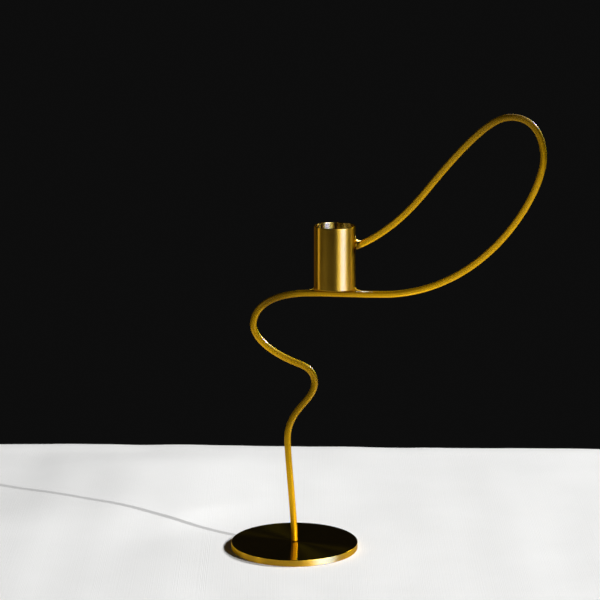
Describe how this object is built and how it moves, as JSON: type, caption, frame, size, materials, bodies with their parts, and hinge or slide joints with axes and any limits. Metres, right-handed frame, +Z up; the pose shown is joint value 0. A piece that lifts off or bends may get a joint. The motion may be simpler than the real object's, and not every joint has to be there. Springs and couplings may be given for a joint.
{
  "type": "taper candle holder",
  "caption": "Brass taper candle holder: a round base disc, one freely bent round rod as stem, shelf and tear-shaped loop, and a straight open tube as the candle cup.",
  "frame": {"origin": "middle of the base pad's underside, where the holder stands on the table", "axes": "+Z up; +X from the base's middle towards the cup and the loop; the rod's centreline lies in the plane y = 0, and the picture looks along +Y"},
  "size_m": [0.1903, 0.078, 0.2695],
  "materials": {
    "base_brass": "turned: fine concentric brush marks on top and brushed round the edge, lacquered",
    "rod_brass": "satin, with fine diagonal hand-polishing scratches",
    "cup_brass": "brushed round the outside, brighter drawn surface inside",
    "braze_metal": "smooth pale brazing metal, filed and polished back",
    "fastener_steel": "bright zinc plate",
    "felt": "dark wool felt"
  },
  "bodies": {
    "root": {"base_disc": "base_brass", "base_pad": "felt", "stem_rod": "rod_brass", "stem_washer": "fastener_steel", "stem_nut": "fastener_steel", "candle_cup_tube": "cup_brass", "candle_cup_floor": "cup_brass", "cup_foot_braze": "braze_metal", "cup_side_braze": "braze_metal"}
  },
  "joints": []
}
